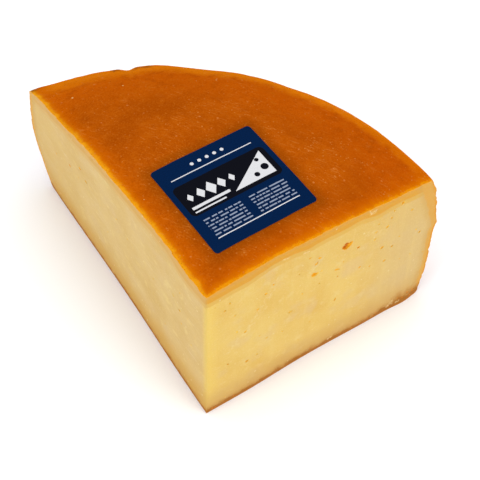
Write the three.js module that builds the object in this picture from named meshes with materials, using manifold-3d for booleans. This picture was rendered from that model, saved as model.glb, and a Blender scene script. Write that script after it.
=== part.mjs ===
// A hand-cut quarter of a hard cheese wheel, with a square paper sticker on its rind.
// Millimetres, +Z up. The two cut faces meet at an upright edge, the apex. From there
// +X runs along the shorter cut face and +Y along the longer one.
//
// A place in the cheese is (reach, height, turn): reach is the distance from the apex,
// and turn goes from 0 on the shorter cut face to 1 on the longer one.
import * as THREE from "three";
import { mergeVertices } from "three/addons/utils/BufferGeometryUtils.js";
import Module from "manifold-3d";

const wasm = await Module();
wasm.setup();

// Where the apex stands, so that the origin is the middle of the base of the part's box.
const APEX_PLACE = new THREE.Vector3(-74.802, -94.963, 0);

// The wheel that the piece was cut from. Its middle is a little off the apex.
const WHEEL_CENTRE = new THREE.Vector2(-16.0, 28.6);
const APEX_HEIGHT = 104.3;

// Values at the shorter cut face, halfway round, and at the longer cut face.
const TOP_RISE = [16.1, 15.4, 9.8];
const RIM_DROP = [7.8, 11.9, 18.2];
const DOME_POWER = [1.6, 3.2, 2.7];
const TOP_RIM_RADIUS = [158.3, 154.0, 154.9];

// Values at the shorter cut face and at the longer one.
const BELLY_RADIUS = [166.2, 166.9];
const BELLY_HEIGHT = [53.5, 38.4];
const ABOVE_BELLY_POWER = [2.2, 1.4];
const BELOW_BELLY_POWER = [4.6, 1.4];
const FOOT_RADIUS = [162.0, 157.6];

// The cuts lean a little: the foot of the apex is out of plumb, and so are both faces.
const APEX_LEAN = new THREE.Vector2(-1.5, -1.6);
const SHORT_CUT_FOOT_ANGLE = THREE.MathUtils.degToRad(-0.95);
const LONG_CUT_FOOT_ANGLE = THREE.MathUtils.degToRad(86.94);
const LONG_CUT_TOP_ANGLE = THREE.MathUtils.degToRad(89.2);

// The apex's edge is worn down above this height: it lies this deep inside the sharp
// corner, and the wear fades out at this reach.
const APEX_WEAR = { depth: 0.8, reach: 3.5, above: 25 };

// The dome stops rising here: above this height it levels out over the next few tenths.
const LEVEL = { height: 105.5, ease: 1.3 };

// Near the apex the rind of the longer cut is torn down a little.
const TORN_EDGE = { reach: 17, span: 13, drop: 1.6, fade: 5 };

const SHOULDER_ROUND = 1.5;
const FOOT_ROUND = 2.5;

// Low relief: [height, wavelength along X, wavelength along Y, start] of each swell. On
// the top it fades in over this share of the way from the apex.
const SWELL_FADE = 0.25;
const TOP_SWELLS = [
  [0.45, 88, 61, 0.4],
  [0.3, -47, 83, 2.1],
];
const SIDE_SWELL = { height: 0.35, turns: 3.5, rise: 70 };

// How a knife leaves each cut face: bowed in where this wave is above 0.
const CUT_BOWS = [
  { depth: 0.5, start: 40, length: 100, rise: 300 },
  { depth: 0.45, start: 45, length: 180, rise: 300 },
];

// Chips along the rind's cut edges. They start small at the apex.
const RIND_CHIP = { depth: 0.5, drop: 0.5, fullStep: 4 };

// A swelling of the far rim, where the rind was pressed out.
const RIM_BLISTER = { turn: 0.74, span: 0.07, height: 2.4, above: 62 };

// A low ridge round the side, which fades out over this share of the way round.
const SIDE_RIDGE = { height: 59.5, span: 4.5, out: 2.0, fade: 0.2 };

// Eyes in the paste: [reach, height, length, width, tilt in degrees].
const SHORT_CUT_EYES = [
  [85.2, 83.7, 6.6, 3.2, 12],
  [65.6, 73.8, 4.8, 2.6, -15],
  [80.0, 67.5, 5.0, 1.3, -26],
  [65.8, 82.4, 2.4, 1.5, 33],
  [67.7, 85.6, 2.6, 1.4, -22],
  [81.6, 40.4, 2.6, 1.3, 57],
  [25.2, 29.6, 2.2, 1.7, 20],
  [23.7, 57.6, 2.2, 1.3, 12],
  [52.0, 51.8, 2.2, 1.3, 15],
  [40.0, 83.7, 1.8, 1.4, 0],
  [35.5, 79.8, 1.8, 1.4, 0],
  [120.7, 92.0, 2.0, 1.8, 0],
  [111.8, 79.7, 2.6, 1.7, 20],
  [110.2, 64.0, 2.4, 1.4, 25],
  [117.5, 59.8, 2.4, 1.3, 20],
  [113.3, 51.1, 2.4, 1.3, 10],
  [137.6, 58.0, 2.0, 1.4, 30],
  [92.8, 76.7, 1.7, 1.5, 0],
];
const LONG_CUT_EYES = [
  [141.0, 63.0, 2.4, 1.6, 20],
  [126.0, 75.0, 2.6, 1.5, -10],
  [121.0, 69.0, 2.2, 1.4, 15],
  [25.2, 64.6, 2.2, 1.5, 0],
];
const EYE_DEPTH = 0.9;
const EYE_SIDES = 7;
const EYE_RINGS = 4;

// Cells of the surface: along a reach, round the turn, and up a side. Each half of a
// rounded edge takes ROUND_CELLS of them.
const REACH_CELLS = 34;
const TURN_CELLS = 30;
const HEIGHT_CELLS = 18;
const ROUND_CELLS = 2;

// The sticker.
const LABEL_SIDE = 60;
const LABEL_CORNER = 2;
const LABEL_THICKNESS = 0.3;
const LABEL_GAP = 0.15;
const LABEL_CENTRE = new THREE.Vector2(47.45, 46.75);
const LABEL_TURN = THREE.MathUtils.degToRad(-0.36);
const LABEL_CELLS = 8;
const LABEL_CORNER_LINES = [0.55, 1];

const mix = THREE.MathUtils.lerp;
const wave = (x) => Math.sin(2 * Math.PI * x);

// A value at any turn, by the parabola through its three stated values.
function alongTurn([short, half, long], turn) {
  return (
    short * (1 - turn) * (1 - 2 * turn) +
    half * 4 * turn * (1 - turn) +
    long * turn * (2 * turn - 1)
  );
}

// A repeatable number from 0 to 1 for each step of a row.
function chance(step) {
  const value = Math.sin(step * 12.9898 + 4.1) * 43758.5453;
  return value - Math.floor(value);
}

function apexAt(height) {
  return APEX_LEAN.clone().multiplyScalar(1 - height / APEX_HEIGHT);
}

// The compass angle of the upright strip at this height and turn.
function angleAt(height, turn) {
  const up = height / APEX_HEIGHT;
  const short = mix(SHORT_CUT_FOOT_ANGLE, 0, up);
  const long = mix(LONG_CUT_FOOT_ANGLE, LONG_CUT_TOP_ANGLE, up);
  return mix(short, long, turn);
}

const rimHeight = (turn) => APEX_HEIGHT - alongTurn(RIM_DROP, turn);

// The wheel's radius: widest at the belly, less at the foot and at the top rim.
function wheelRadius(height, turn) {
  const widest = mix(...BELLY_RADIUS, turn);
  const belly = mix(...BELLY_HEIGHT, turn);
  const above = Math.max(0, (height - belly) / (rimHeight(turn) - belly));
  const below = Math.max(0, (belly - height) / belly);
  const swell = SIDE_SWELL.height * wave(SIDE_SWELL.turns * turn + height / SIDE_SWELL.rise);
  return (
    widest -
    (widest - alongTurn(TOP_RIM_RADIUS, turn)) * above ** mix(...ABOVE_BELLY_POWER, turn) -
    (widest - mix(...FOOT_RADIUS, turn)) * below ** mix(...BELOW_BELLY_POWER, turn) +
    swell * (1 - below) +
    blister(height, turn) +
    sideRidge(height, turn)
  );
}

function blister(height, turn) {
  const aside = (turn - RIM_BLISTER.turn) / RIM_BLISTER.span;
  const up = Math.max(0, (height - RIM_BLISTER.above) / (rimHeight(turn) - RIM_BLISTER.above));
  return RIM_BLISTER.height * Math.exp(-aside * aside) * up * up;
}

function sideRidge(height, turn) {
  const aside = (height - SIDE_RIDGE.height) / SIDE_RIDGE.span;
  return SIDE_RIDGE.out * Math.exp(-aside * aside - turn / SIDE_RIDGE.fade);
}

// How far the wheel's side is from the apex, at this height and turn.
function rimReach(height, turn) {
  const angle = angleAt(height, turn);
  const away = apexAt(height).sub(WHEEL_CENTRE);
  const along = away.x * Math.cos(angle) + away.y * Math.sin(angle);
  return -along + Math.sqrt(along ** 2 - away.lengthSq() + wheelRadius(height, turn) ** 2);
}

function topSwell(x, y) {
  return TOP_SWELLS.reduce(
    (sum, [height, alongX, alongY, start]) => sum + height * wave(x / alongX + y / alongY + start),
    0,
  );
}

function levelled(height) {
  const over = height - LEVEL.height;
  return over > 0 ? LEVEL.height + LEVEL.ease * Math.tanh(over / LEVEL.ease) : height;
}

function tornDrop(reach, turn) {
  const along = (reach - TORN_EDGE.reach) / TORN_EDGE.span;
  const fromCut = reach * (1 - turn) * LONG_CUT_TOP_ANGLE;
  return TORN_EDGE.drop * Math.exp(-along * along - fromCut / TORN_EDGE.fade);
}

// The height of the top at a share of the way from the apex to the rim. The swells fade
// out towards the apex.
function topHeight(share, turn) {
  const rise = alongTurn(TOP_RISE, turn);
  const drop = alongTurn(RIM_DROP, turn);
  const dome = APEX_HEIGHT + rise * share - (rise + drop) * share ** alongTurn(DOME_POWER, turn);
  const reach = share * rimReach(rimHeight(turn), turn);
  const angle = angleAt(APEX_HEIGHT, turn);
  const fade = Math.min(1, share / SWELL_FADE);
  const swell = fade * topSwell(reach * Math.cos(angle), reach * Math.sin(angle));
  return levelled(dome + swell) - tornDrop(reach, turn);
}

// How far a place on a cut face is bowed, counted towards the longer cut face.
function cutBow(reach, height, turn) {
  if (turn > 0 && turn < 1) return 0;
  const { depth, start, length, rise } = CUT_BOWS[turn];
  const inward = turn === 0 ? 1 : -1;
  const bow = wave((reach - start) / length + height / rise);
  return inward * depth * bow * Math.min(1, reach / start);
}

// The place in space.
function pointAt(reach, height, turn) {
  const angle = angleAt(height, turn);
  const apex = apexAt(height);
  const bow = cutBow(reach, height, turn);
  const worn = APEX_WEAR.depth * Math.min(1, height / APEX_WEAR.above);
  const wear = worn * Math.max(0, 1 - reach / APEX_WEAR.reach) ** 2;
  const middle = angleAt(height, 0.5);
  return new THREE.Vector3(
    apex.x + reach * Math.cos(angle) - bow * Math.sin(angle) + wear * Math.cos(middle),
    apex.y + reach * Math.sin(angle) + bow * Math.cos(angle) + wear * Math.sin(middle),
    height,
  );
}

// A rounded corner as a curve with its control point at the sharp corner.
function rounded(start, corner, end, share) {
  const from = start.clone().lerp(corner, share);
  return from.lerp(corner.clone().lerp(end, share), share);
}

// The outline at one turn, as (reach, height): each side of it is a list of points.
function outlineAt(turn) {
  const top = rimHeight(turn);
  const topReach = rimReach(top, turn);
  const footReach = rimReach(0, turn);
  const side = (height) => new THREE.Vector2(rimReach(height, turn), height);
  const lid = (share) => new THREE.Vector2(share * topReach, topHeight(share, turn));
  const shoulderShare = 1 - SHOULDER_ROUND / topReach;
  const shoulder = (share) =>
    rounded(lid(shoulderShare), lid(1), side(top - SHOULDER_ROUND), share);
  const footStart = new THREE.Vector2(footReach - FOOT_ROUND, 0);
  const foot = (share) => rounded(footStart, side(0), side(FOOT_ROUND), share);

  const plainReach = REACH_CELLS - ROUND_CELLS;
  const plainHeight = HEIGHT_CELLS - 2 * ROUND_CELLS;
  const half = (step) => (0.5 * step) / ROUND_CELLS;
  const lidRow = [];
  const footRow = [];
  for (let i = 0; i <= REACH_CELLS; i++) {
    const past = i - plainReach;
    const share = i / plainReach;
    lidRow.push(past > 0 ? shoulder(half(past)) : lid(share * shoulderShare));
    footRow.push(
      past > 0 ? foot(half(past)) : new THREE.Vector2(share * footStart.x, 0),
    );
  }
  const sideRow = [];
  for (let k = 0; k <= HEIGHT_CELLS; k++) {
    const past = k - ROUND_CELLS;
    const over = past - plainHeight;
    if (past < 0) sideRow.push(foot(0.5 + half(k)));
    else if (over > 0) sideRow.push(shoulder(1 - half(over)));
    else sideRow.push(side(mix(FOOT_ROUND, top - SHOULDER_ROUND, past / plainHeight)));
  }
  return { lidRow, footRow, sideRow };
}

// A cut face's own points, spread between the four sides of its outline.
function cutRows({ lidRow, footRow, sideRow }) {
  const shoulder = lidRow[REACH_CELLS];
  const foot = footRow[REACH_CELLS];
  return sideRow.map((edge, k) => {
    const up = k / HEIGHT_CELLS;
    return lidRow.map((lid, i) => {
      const out = i / REACH_CELLS;
      const place = footRow[i].clone().lerp(lid, up);
      const straight = foot.clone().lerp(shoulder, up);
      return place.addScaledVector(edge.clone().sub(straight), out);
    });
  });
}

// The knife tears small chips off the rind along both cuts.
function chipped(point, turn, step) {
  if (turn > 0 && turn < 1) return point;
  const chip = Math.min(1, step / RIND_CHIP.fullStep) * chance(step + 100 * turn);
  const angle = angleAt(APEX_HEIGHT, turn);
  const inward = (turn === 0 ? 1 : -1) * RIND_CHIP.depth * chip;
  point.x -= inward * Math.sin(angle);
  point.y += inward * Math.cos(angle);
  point.z -= RIND_CHIP.drop * chip;
  return point;
}

// Adds a grid of points as triangles, without those that a shared point makes empty.
function addPatch(triangles, rows, flipped) {
  const add = (...corners) => {
    const [a, b, c] = flipped ? corners.reverse() : corners;
    if (a.equals(b) || b.equals(c) || c.equals(a)) return;
    triangles.push(a, b, c);
  };
  for (let j = 0; j + 1 < rows.length; j++) {
    for (let i = 0; i + 1 < rows[j].length; i++) {
      add(rows[j][i], rows[j][i + 1], rows[j + 1][i + 1]);
      add(rows[j][i], rows[j + 1][i + 1], rows[j + 1][i]);
    }
  }
}

function geometryOf(triangles) {
  const geometry = new THREE.BufferGeometry().setFromPoints(triangles);
  return mergeVertices(geometry, 1e-4);
}

// The flat part of the base, filled from the points round it.
function addBase(triangles, foot) {
  const flat = REACH_CELLS - ROUND_CELLS;
  const short = foot[0].slice(0, flat);
  const round = foot.map((row) => row[flat]);
  const long = foot[TURN_CELLS].slice(1, flat).reverse();
  const ring = [...short, ...round, ...long];
  const outline = ring.map(({ x, y }) => new THREE.Vector2(x, y));
  for (const [a, b, c] of THREE.ShapeUtils.triangulateShape(outline, [])) {
    triangles.push(ring[a], ring[c], ring[b]);
  }
}

// The whole surface of the piece: top, side, both cut faces and the base.
function cheeseGeometry() {
  const turns = Array.from({ length: TURN_CELLS + 1 }, (_, j) => j / TURN_CELLS);
  const outlines = turns.map(outlineAt);
  const spot = (place, turn) => pointAt(place.x, place.y, turn);
  const lid = outlines.map(({ lidRow }, j) =>
    lidRow.map((place, i) => chipped(spot(place, turns[j]), turns[j], i)),
  );
  const side = outlines.map(({ sideRow }, j) => sideRow.map((place) => spot(place, turns[j])));
  const foot = outlines.map(({ footRow }, j) => footRow.map((place) => spot(place, turns[j])));

  const triangles = [];
  const last = HEIGHT_CELLS;
  for (const j of [0, TURN_CELLS]) {
    const rows = cutRows(outlines[j]).map((row) => row.map((place) => spot(place, turns[j])));
    rows[last] = lid[j];
    addPatch(triangles, rows, j > 0);
  }
  lid.forEach((row, j) => (side[j][last] = row[REACH_CELLS]));
  addPatch(triangles, lid, false);
  addPatch(triangles, side, true);
  addPatch(triangles, foot.map((row) => row.slice(-ROUND_CELLS - 1)), true);
  addBase(triangles, foot);
  return geometryOf(triangles);
}

function solidFrom(geometry) {
  const bare = geometry.clone();
  bare.deleteAttribute("normal");
  bare.deleteAttribute("uv");
  const merged = mergeVertices(bare, 1e-4);
  return new wasm.Manifold(
    new wasm.Mesh({
      numProp: 3,
      vertProperties: merged.attributes.position.array,
      triVerts: new Uint32Array(merged.index.array),
    }),
  );
}

function geometryFrom(solid) {
  const { vertProperties, triVerts } = solid.getMesh();
  const geometry = new THREE.BufferGeometry();
  geometry.setAttribute("position", new THREE.BufferAttribute(vertProperties, 3));
  geometry.setIndex(new THREE.BufferAttribute(triVerts, 1));
  geometry.computeVertexNormals();
  return geometry;
}

// A flattened ball that leaves one eye when it is cut out of a face.
function eyeCutter([reach, height, length, width, tilt], turn) {
  const here = pointAt(reach, height, turn);
  const along = pointAt(reach + 1, height, turn).sub(here).normalize();
  const up = pointAt(reach, height + 1, turn).sub(here).normalize();
  const out = along.clone().cross(up).normalize();
  const frame = new THREE.Matrix4().makeBasis(along, out.clone().cross(along), out);
  const ball = new THREE.SphereGeometry(1, EYE_SIDES, EYE_RINGS);
  ball.scale(length / 2, width / 2, EYE_DEPTH * width);
  ball.rotateZ(THREE.MathUtils.degToRad(tilt));
  ball.applyMatrix4(frame).translate(here.x, here.y, here.z);
  return solidFrom(ball);
}

function makeCheese() {
  let solid = solidFrom(cheeseGeometry());
  for (const eye of SHORT_CUT_EYES) solid = solid.subtract(eyeCutter(eye, 0));
  for (const eye of LONG_CUT_EYES) solid = solid.subtract(eyeCutter(eye, 1));
  const paste = new THREE.MeshStandardMaterial({ color: 0xe6c67e, roughness: 0.6, metalness: 0 });
  const mesh = new THREE.Mesh(geometryFrom(solid), paste);
  mesh.name = "cheese";
  return mesh;
}

// The top's height over any place near the middle of the piece.
function topHeightOver(x, y) {
  const long = angleAt(APEX_HEIGHT, 1);
  const turn = Math.atan2(y, x) / long;
  const share = Math.hypot(x, y) / rimReach(rimHeight(turn), turn);
  return topHeight(share, turn);
}

// The sticker's cell lines across one side, closer together at the rounded corners.
function labelLines() {
  const half = LABEL_SIDE / 2;
  const plain = half - LABEL_CORNER;
  const corner = LABEL_CORNER_LINES.map((share) => plain + share * LABEL_CORNER);
  const middle = Array.from({ length: LABEL_CELLS + 1 }, (_, i) =>
    mix(-plain, plain, i / LABEL_CELLS),
  );
  return [...corner.map((x) => -x).reverse(), ...middle, ...corner];
}

// Draws a place of the square in onto the arc of the nearest corner.
function insideCorner(x, y) {
  const plain = LABEL_SIDE / 2 - LABEL_CORNER;
  const past = new THREE.Vector2(Math.abs(x) - plain, Math.abs(y) - plain);
  if (past.x <= 0 || past.y <= 0) return new THREE.Vector2(x, y);
  past.clampLength(0, LABEL_CORNER);
  return new THREE.Vector2(Math.sign(x) * (plain + past.x), Math.sign(y) * (plain + past.y));
}

function makeLabel() {
  const lines = labelLines();
  const sheetAt = (lift) =>
    lines.map((y) =>
      lines.map((x) => {
        const place = insideCorner(x, y).rotateAround(new THREE.Vector2(), LABEL_TURN);
        place.add(LABEL_CENTRE);
        return new THREE.Vector3(place.x, place.y, topHeightOver(place.x, place.y) + lift);
      }),
    );
  const under = sheetAt(LABEL_GAP);
  const over = sheetAt(LABEL_GAP + LABEL_THICKNESS);
  const end = lines.length - 1;
  const triangles = [];
  addPatch(triangles, under, true);
  addPatch(triangles, over, false);
  addPatch(triangles, [under[0], over[0]], false);
  addPatch(triangles, [under[end], over[end]], true);
  addPatch(triangles, [under.map((row) => row[0]), over.map((row) => row[0])], true);
  addPatch(triangles, [under.map((row) => row[end]), over.map((row) => row[end])], false);
  const paper = new THREE.MeshStandardMaterial({ color: 0x0b2a55, roughness: 0.45, metalness: 0 });
  const geometry = geometryOf(triangles);
  geometry.computeVertexNormals();
  const mesh = new THREE.Mesh(geometry, paper);
  mesh.name = "label";
  return mesh;
}

const part = new THREE.Group();
part.position.copy(APEX_PLACE);
part.add(makeCheese(), makeLabel());

export default part;
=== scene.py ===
"""The looks of a hand-cut quarter of a hard cheese wheel with a square sticker on its rind.

Lengths are millimetres, measured from the top of the apex's upright edge as the origin
of X and Y, until a mesh is made. Blender's objects are in metres.

A place in the cheese is (reach, height, turn): reach is the distance from the apex, and
turn goes from 0 on the shorter cut face to 1 on the longer one.
"""

import itertools
import math

import bpy
import numpy as np
from mathutils import Matrix, Vector


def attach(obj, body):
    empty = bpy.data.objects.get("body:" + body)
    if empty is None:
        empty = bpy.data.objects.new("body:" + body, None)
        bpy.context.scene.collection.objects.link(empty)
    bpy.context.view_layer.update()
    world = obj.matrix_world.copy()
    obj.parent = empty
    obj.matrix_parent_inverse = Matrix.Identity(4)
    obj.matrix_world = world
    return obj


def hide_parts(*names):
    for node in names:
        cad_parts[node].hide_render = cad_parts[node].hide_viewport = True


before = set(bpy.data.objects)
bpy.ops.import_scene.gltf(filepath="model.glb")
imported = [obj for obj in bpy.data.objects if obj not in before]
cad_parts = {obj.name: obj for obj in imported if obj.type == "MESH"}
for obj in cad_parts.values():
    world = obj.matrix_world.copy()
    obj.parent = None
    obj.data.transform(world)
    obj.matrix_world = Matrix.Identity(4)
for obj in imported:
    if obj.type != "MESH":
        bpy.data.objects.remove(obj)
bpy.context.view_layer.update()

MM = 0.001
APEX_PLACE = np.array([-74.802, -94.963, 0])

# The wheel that the piece was cut from, and how high the piece is at its apex.
WHEEL_CENTRE = np.array([-16, 28.6])
APEX_HEIGHT = 104.3

# Values at the shorter cut face, halfway round, and at the longer cut face.
TOP_RISE = (16.1, 15.4, 9.8)
RIM_DROP = (7.8, 11.9, 18.2)
DOME_POWER = (1.6, 3.2, 2.7)
TOP_RIM_RADIUS = (158.3, 154, 154.9)

# Values at the shorter cut face and at the longer one.
BELLY_RADIUS = (166.2, 166.9)
BELLY_HEIGHT = (53.5, 38.4)
ABOVE_BELLY_POWER = (2.2, 1.4)
BELOW_BELLY_POWER = (4.6, 1.4)
FOOT_RADIUS = (162, 157.6)

# The apex's edge leans out by this much at its foot, and the cut faces twist a little.
APEX_LEAN = np.array([-1.5, -1.6])
SHORT_CUT_FOOT_ANGLE = math.radians(-0.95)
LONG_CUT_FOOT_ANGLE = math.radians(86.94)
LONG_CUT_TOP_ANGLE = math.radians(89.2)

# The apex's edge is worn: it lies this deep inside the sharp corner above this height,
# and less towards the foot. The wear ends at this reach.
APEX_WEAR = {"depth": 0.8, "reach": 3.5, "above": 25}
SHOULDER_ROUND = 1.5
FOOT_ROUND = 2.5

# Low waves of the top and the side, and a blister on the far rim, all as on the solid.
# Each wave of the top has its height, its lengths along X and Y, and its start.
SWELL_FADE = 0.25
TOP_SWELLS = ((0.45, 88, 61, 0.4), (0.3, -47, 83, 2.1))
SIDE_SWELL = {"height": 0.35, "turns": 3.5, "rise": 70}
RIM_BLISTER = {"turn": 0.74, "span": 0.07, "height": 2.4, "above": 62}

# A notch beside that blister.
RIM_NOTCH = {"turn": 0.797, "span": 0.013, "depth": 1.8}

# A low ridge round the side, which fades out over this share of the way round.
SIDE_RIDGE = {"height": 59.5, "span": 4.5, "out": 2, "fade": 0.2}

# How a knife leaves each cut face: bowed in where this wave is above 0.
CUT_BOWS = (
    {"depth": 0.5, "start": 40, "length": 100, "rise": 300},
    {"depth": 0.45, "start": 45, "length": 180, "rise": 300},
)

# By the rim, the foot of the shorter cut sticks out where the knife tore through the rind.
FOOT_FLARE = {"reach": 134, "span": 9, "height": 6, "out": 1.2}

# Above this height the dome levels out: it rises past it by less than the ease.
LEVEL = {"height": 105.5, "ease": 1.3}

# Near the apex the rind of the longer cut is torn down a little.
TORN_EDGE = {"reach": 17, "span": 13, "drop": 1.6, "fade": 5}

# The knife tears the rind along both cuts: how far the torn strip goes in and down, how
# wide it is, and how strong the tear is, which sets in by this reach.
CHIP_IN = 0.55
CHIP_DOWN = 0.5
CHIP_WIDTH = 1.5
CHIP_STRENGTH = {"mean": 0.5, "most": 1.3, "reach": 3}

# The side crumbles a little along both cuts: how far in, how wide, and how strongly.
CRUMBLE_IN = 0.9
CRUMBLE_WIDTH = 3.5
CRUMBLE_STRENGTH = {"mean": 0.1, "least": -0.3, "most": 1}

# Noise is laid in layers: the height of each, and the size of its lumps.
CHIP_LAYERS = ((0.75, 2.9), (0.5, 1.2))
CRUMBLE_LAYERS = ((0.6, 4.5), (0.5, 1.7))
RIND_LAYERS = ((0.2, 17), (0.11, 6.5), (0.05, 2.4))
RIM_LAYERS = ((1, 9), (0.6, 3.4))
PASTE_LAYERS = ((0.13, 11), (0.05, 2.2))
EYE_LAYERS = ((1, 0.8), (0.8, 0.4))

# The knife's marks on a cut face are drawn out along the reach.
KNIFE_MARKS = {"height": 0.07, "size": 3.2, "stretch": 3.5}

# The relief of a cut face fades out this far from its outline.
PASTE_FADE = 4

# The lumps of the top rim, which grow towards the longer cut face.
RIM_LUMPS = {"height": 0.1, "growth": 0.3, "span": 7}

# How far the noise of the longer cut face is from that of the shorter one.
FACE_SHIFT = {"chips": 40, "crumble": 30, "knife": 60, "paste": 90, "eyes": 30, "colours": 300}

# Eyes in the paste: reach, height, length, width and tilt in degrees.
SHORT_CUT_EYES = (
    (84.6, 83.8, 6.4, 5, 14),
    (65.5, 73.8, 5.2, 3.3, -8),
    (80, 67.5, 5, 1.3, -26),
    (65.8, 82.4, 2.4, 1.5, 33),
    (67.7, 85.6, 2.6, 1.4, -22),
    (81.6, 40.4, 2.6, 1.3, 57),
    (25.2, 29.6, 2.2, 1.7, 20),
    (23.7, 57.6, 2.2, 1.3, 12),
    (52, 51.8, 2.2, 1.3, 15),
    (40, 83.7, 1.8, 1.4, 0),
    (35.5, 79.8, 1.8, 1.4, 0),
    (120.7, 92, 2, 1.8, 0),
    (111.8, 79.7, 2.6, 1.7, 20),
    (110.2, 64, 2.4, 1.4, 25),
    (117.5, 59.8, 2.4, 1.3, 20),
    (113.3, 51.1, 2.4, 1.3, 10),
    (137.6, 58, 2, 1.4, 30),
    (92.8, 76.7, 1.7, 1.5, 0),
    (61.4, 89.9, 1.5, 1, 0),
    (69.6, 73.8, 1.9, 0.7, 10),
    (69.1, 63.8, 1.1, 0.9, 0),
    (81.1, 61.1, 1.2, 1, 0),
    (55.6, 81, 1, 0.9, 0),
    (58.8, 62.3, 1, 0.9, 0),
    (30.9, 70.9, 1.8, 0.9, 15),
    (13.2, 37.1, 1.4, 1.2, 0),
    (13.8, 89.6, 1.4, 1.2, 0),
    (16.8, 77.1, 1.8, 0.8, 20),
    (18.3, 61.9, 1.4, 1, 0),
    (32.8, 46.4, 1.2, 1.1, 0),
    (37.5, 40.5, 1.8, 0.8, 15),
    (47.8, 37.5, 1, 0.9, 0),
    (31.6, 30.6, 1.4, 0.8, 0),
    (10.9, 85.8, 1.4, 1.2, 0),
    (128.5, 81.6, 1.6, 1.2, 0),
    (134.3, 62, 1.2, 1.1, 0),
    (105.1, 86.2, 1.4, 0.9, 20),
    (104.1, 80.9, 1.8, 0.8, 20),
    (103.8, 75.1, 2.1, 0.9, 15),
    (95.7, 58.3, 1.4, 1.1, 0),
    (102.9, 53.9, 1.3, 0.9, 15),
    (113.9, 85.1, 1.5, 1.4, 0),
    (115.1, 89.7, 1.3, 1.2, 0),
    (122, 64.9, 1.1, 0.9, 0),
    (133.3, 42.1, 1.1, 1, 0),
)
LONG_CUT_EYES = (
    (141, 63, 2.4, 1.6, 20),
    (126, 75, 2.6, 1.5, -10),
    (121, 69, 2.2, 1.4, 15),
    (25.2, 64.6, 2.2, 1.5, 0),
    (31, 70.5, 2.6, 0.8, 60),
    (52, 60, 1.2, 0.8, 10),
    (88, 71, 1.4, 0.9, -15),
    (103, 44, 1.2, 0.9, 0),
    (14.5, 47, 1.2, 0.9, 0),
    (160, 55, 1.4, 1, 20),
)

# An eye is this deep for its width, this lumpy, and this much narrower at one end.
EYE_DEPTH = 0.38
DEEPEST_EYE = 1
EYE_LUMPS = 0.32
EYE_TAPER = 0.25

# The size of the lumps of colour on the rind and on the paste.
RIND_LUMPS = {"broad": 26, "mottle": 6, "grain": 0.9}
PASTE_LUMPS = {"broad": 30, "clouds": 19, "mottle": 7, "grain": 1}

# Marks that run one way, as the size of their lumps along each axis.
SCRATCH_SIZE = (8, 0.5, 1)
CLOTH_LINES = (30, 30, 1.6)
KNIFE_ALONG = (20, 1, 5)
KNIFE_ACROSS = (5, 70, 5)
BAND_SWING = (22, 60, 5)

# The rind's scratches run at this angle, in degrees from +X.
SCRATCH_ANGLE = 118

# The tan bands of the paste: how far under the top each starts and is full, and its colour
# on the shorter and on the longer cut face.
TOP_BANDS = (
    (9.6, 8.2, (208, 164, 78), (204, 164, 98)),
    (6.4, 5.2, (208, 147, 46), (200, 154, 84)),
    (3.2, 2, (204, 151, 70), (206, 162, 96)),
)

# Brown marks on the far rim: the middle and half the width of each, as turns.
RIM_MARKS = ((0.822, 0.012), (0.767, 0.022), (1, 0.02))

# Whitish scuffs on the shorter cut face: from, to and half the width.
SCUFFS = (
    ((43, 87), (36, 74), 3.2),
    ((34, 70), (24, 57), 3.6),
    ((23, 58), (12, 47), 2.4),
    ((62, 76), (69, 86), 3),
    ((108, 78), (98, 83), 3.2),
)

# Pale crumbs on the shorter cut face, along the rind and the foot.
CRUMBS = (
    ((97.4, 101), (98, 99.6), 0.8),
    ((98.8, 98.8), (101, 98.8), 1.7),
    ((80.5, 4), (82.5, 4.2), 1.2),
    ((122, 3.6), (125, 6.2), 1.5),
    ((128, 3.2), (130, 3.4), 1.2),
    ((57, 97), (60, 96), 1),
    ((45, 100), (48, 99.5), 1),
)

# The sticker, square with rounded corners.
LABEL_SIDE = 60
LABEL_CORNER = 2
LABEL_THICKNESS = 0.3
LABEL_GAP = 0.15
LABEL_CENTRE = np.array([47.45, 46.75])
LABEL_TURN = math.radians(-0.36)

# Its dashes: the size of their lumps of noise, and how far each row is from the last in it.
DASH_SIZE = (1.9, 1, 1)
ROW_SHIFT = 17

# The camera's place in metres, which way it looks, and its lens in millimetres.
CAMERA_PLACE = Vector((-0.2314, -0.33326, 0.518))
CAMERA_AZIMUTH = math.radians(53.713)
CAMERA_PITCH = math.radians(52.326)
CAMERA_ROLL = math.radians(1.75)
CAMERA_LENS = 82
CAMERA_SENSOR = 36

# Each light's place in metres, size, power and colour, and the bright surround.
LIGHTS = {
    "key": ((0.55, -1.5, 1.1), 1.3, 13, (1, 0.96, 0.88)),
    "fill": ((-1.6, -0.1, 0.9), 1.3, 11, (0.92, 0.96, 1)),
    "top": ((0.1, 0.2, 1.9), 1.6, 12, (1, 1, 1)),
}
SURROUND_COLOUR = (0.97, 0.98, 1, 1)
SURROUND_STRENGTH = 0.7

# The floor lies a little under the cheese. Its half and its drop are in metres.
FLOOR_HALF = 6
FLOOR_DROP = 0.0002
FLOOR_COLOUR = (0.96, 0.97, 0.98, 1)

# Cells of the fine surface: along a reach, round the turn, up the side, in each half of a
# rounded edge, round the middle of the base, and across the sticker and its corners.
REACH_CELLS = 150
TURN_CELLS = 200
HEIGHT_CELLS = 84
ROUND_CELLS = 6
BASE_CELLS = 12
LABEL_CELLS = 60
LABEL_ROUND_CELLS = 4

RINGS = REACH_CELLS + ROUND_CELLS
ROWS = HEIGHT_CELLS + 2 * ROUND_CELLS

# The materials of the cheese and of the sticker, by number.
RIND, PASTE, BASE, EYE = range(4)
PRINTED, CUT_EDGE = range(2)

# Faces that meet at more than this angle meet in a sharp edge.
SHARP_FROM = math.radians(50)

NOISE_CELLS = 64
NOISE_TABLE = np.random.RandomState(7).uniform(-1, 1, (NOISE_CELLS,) * 3)


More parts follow.
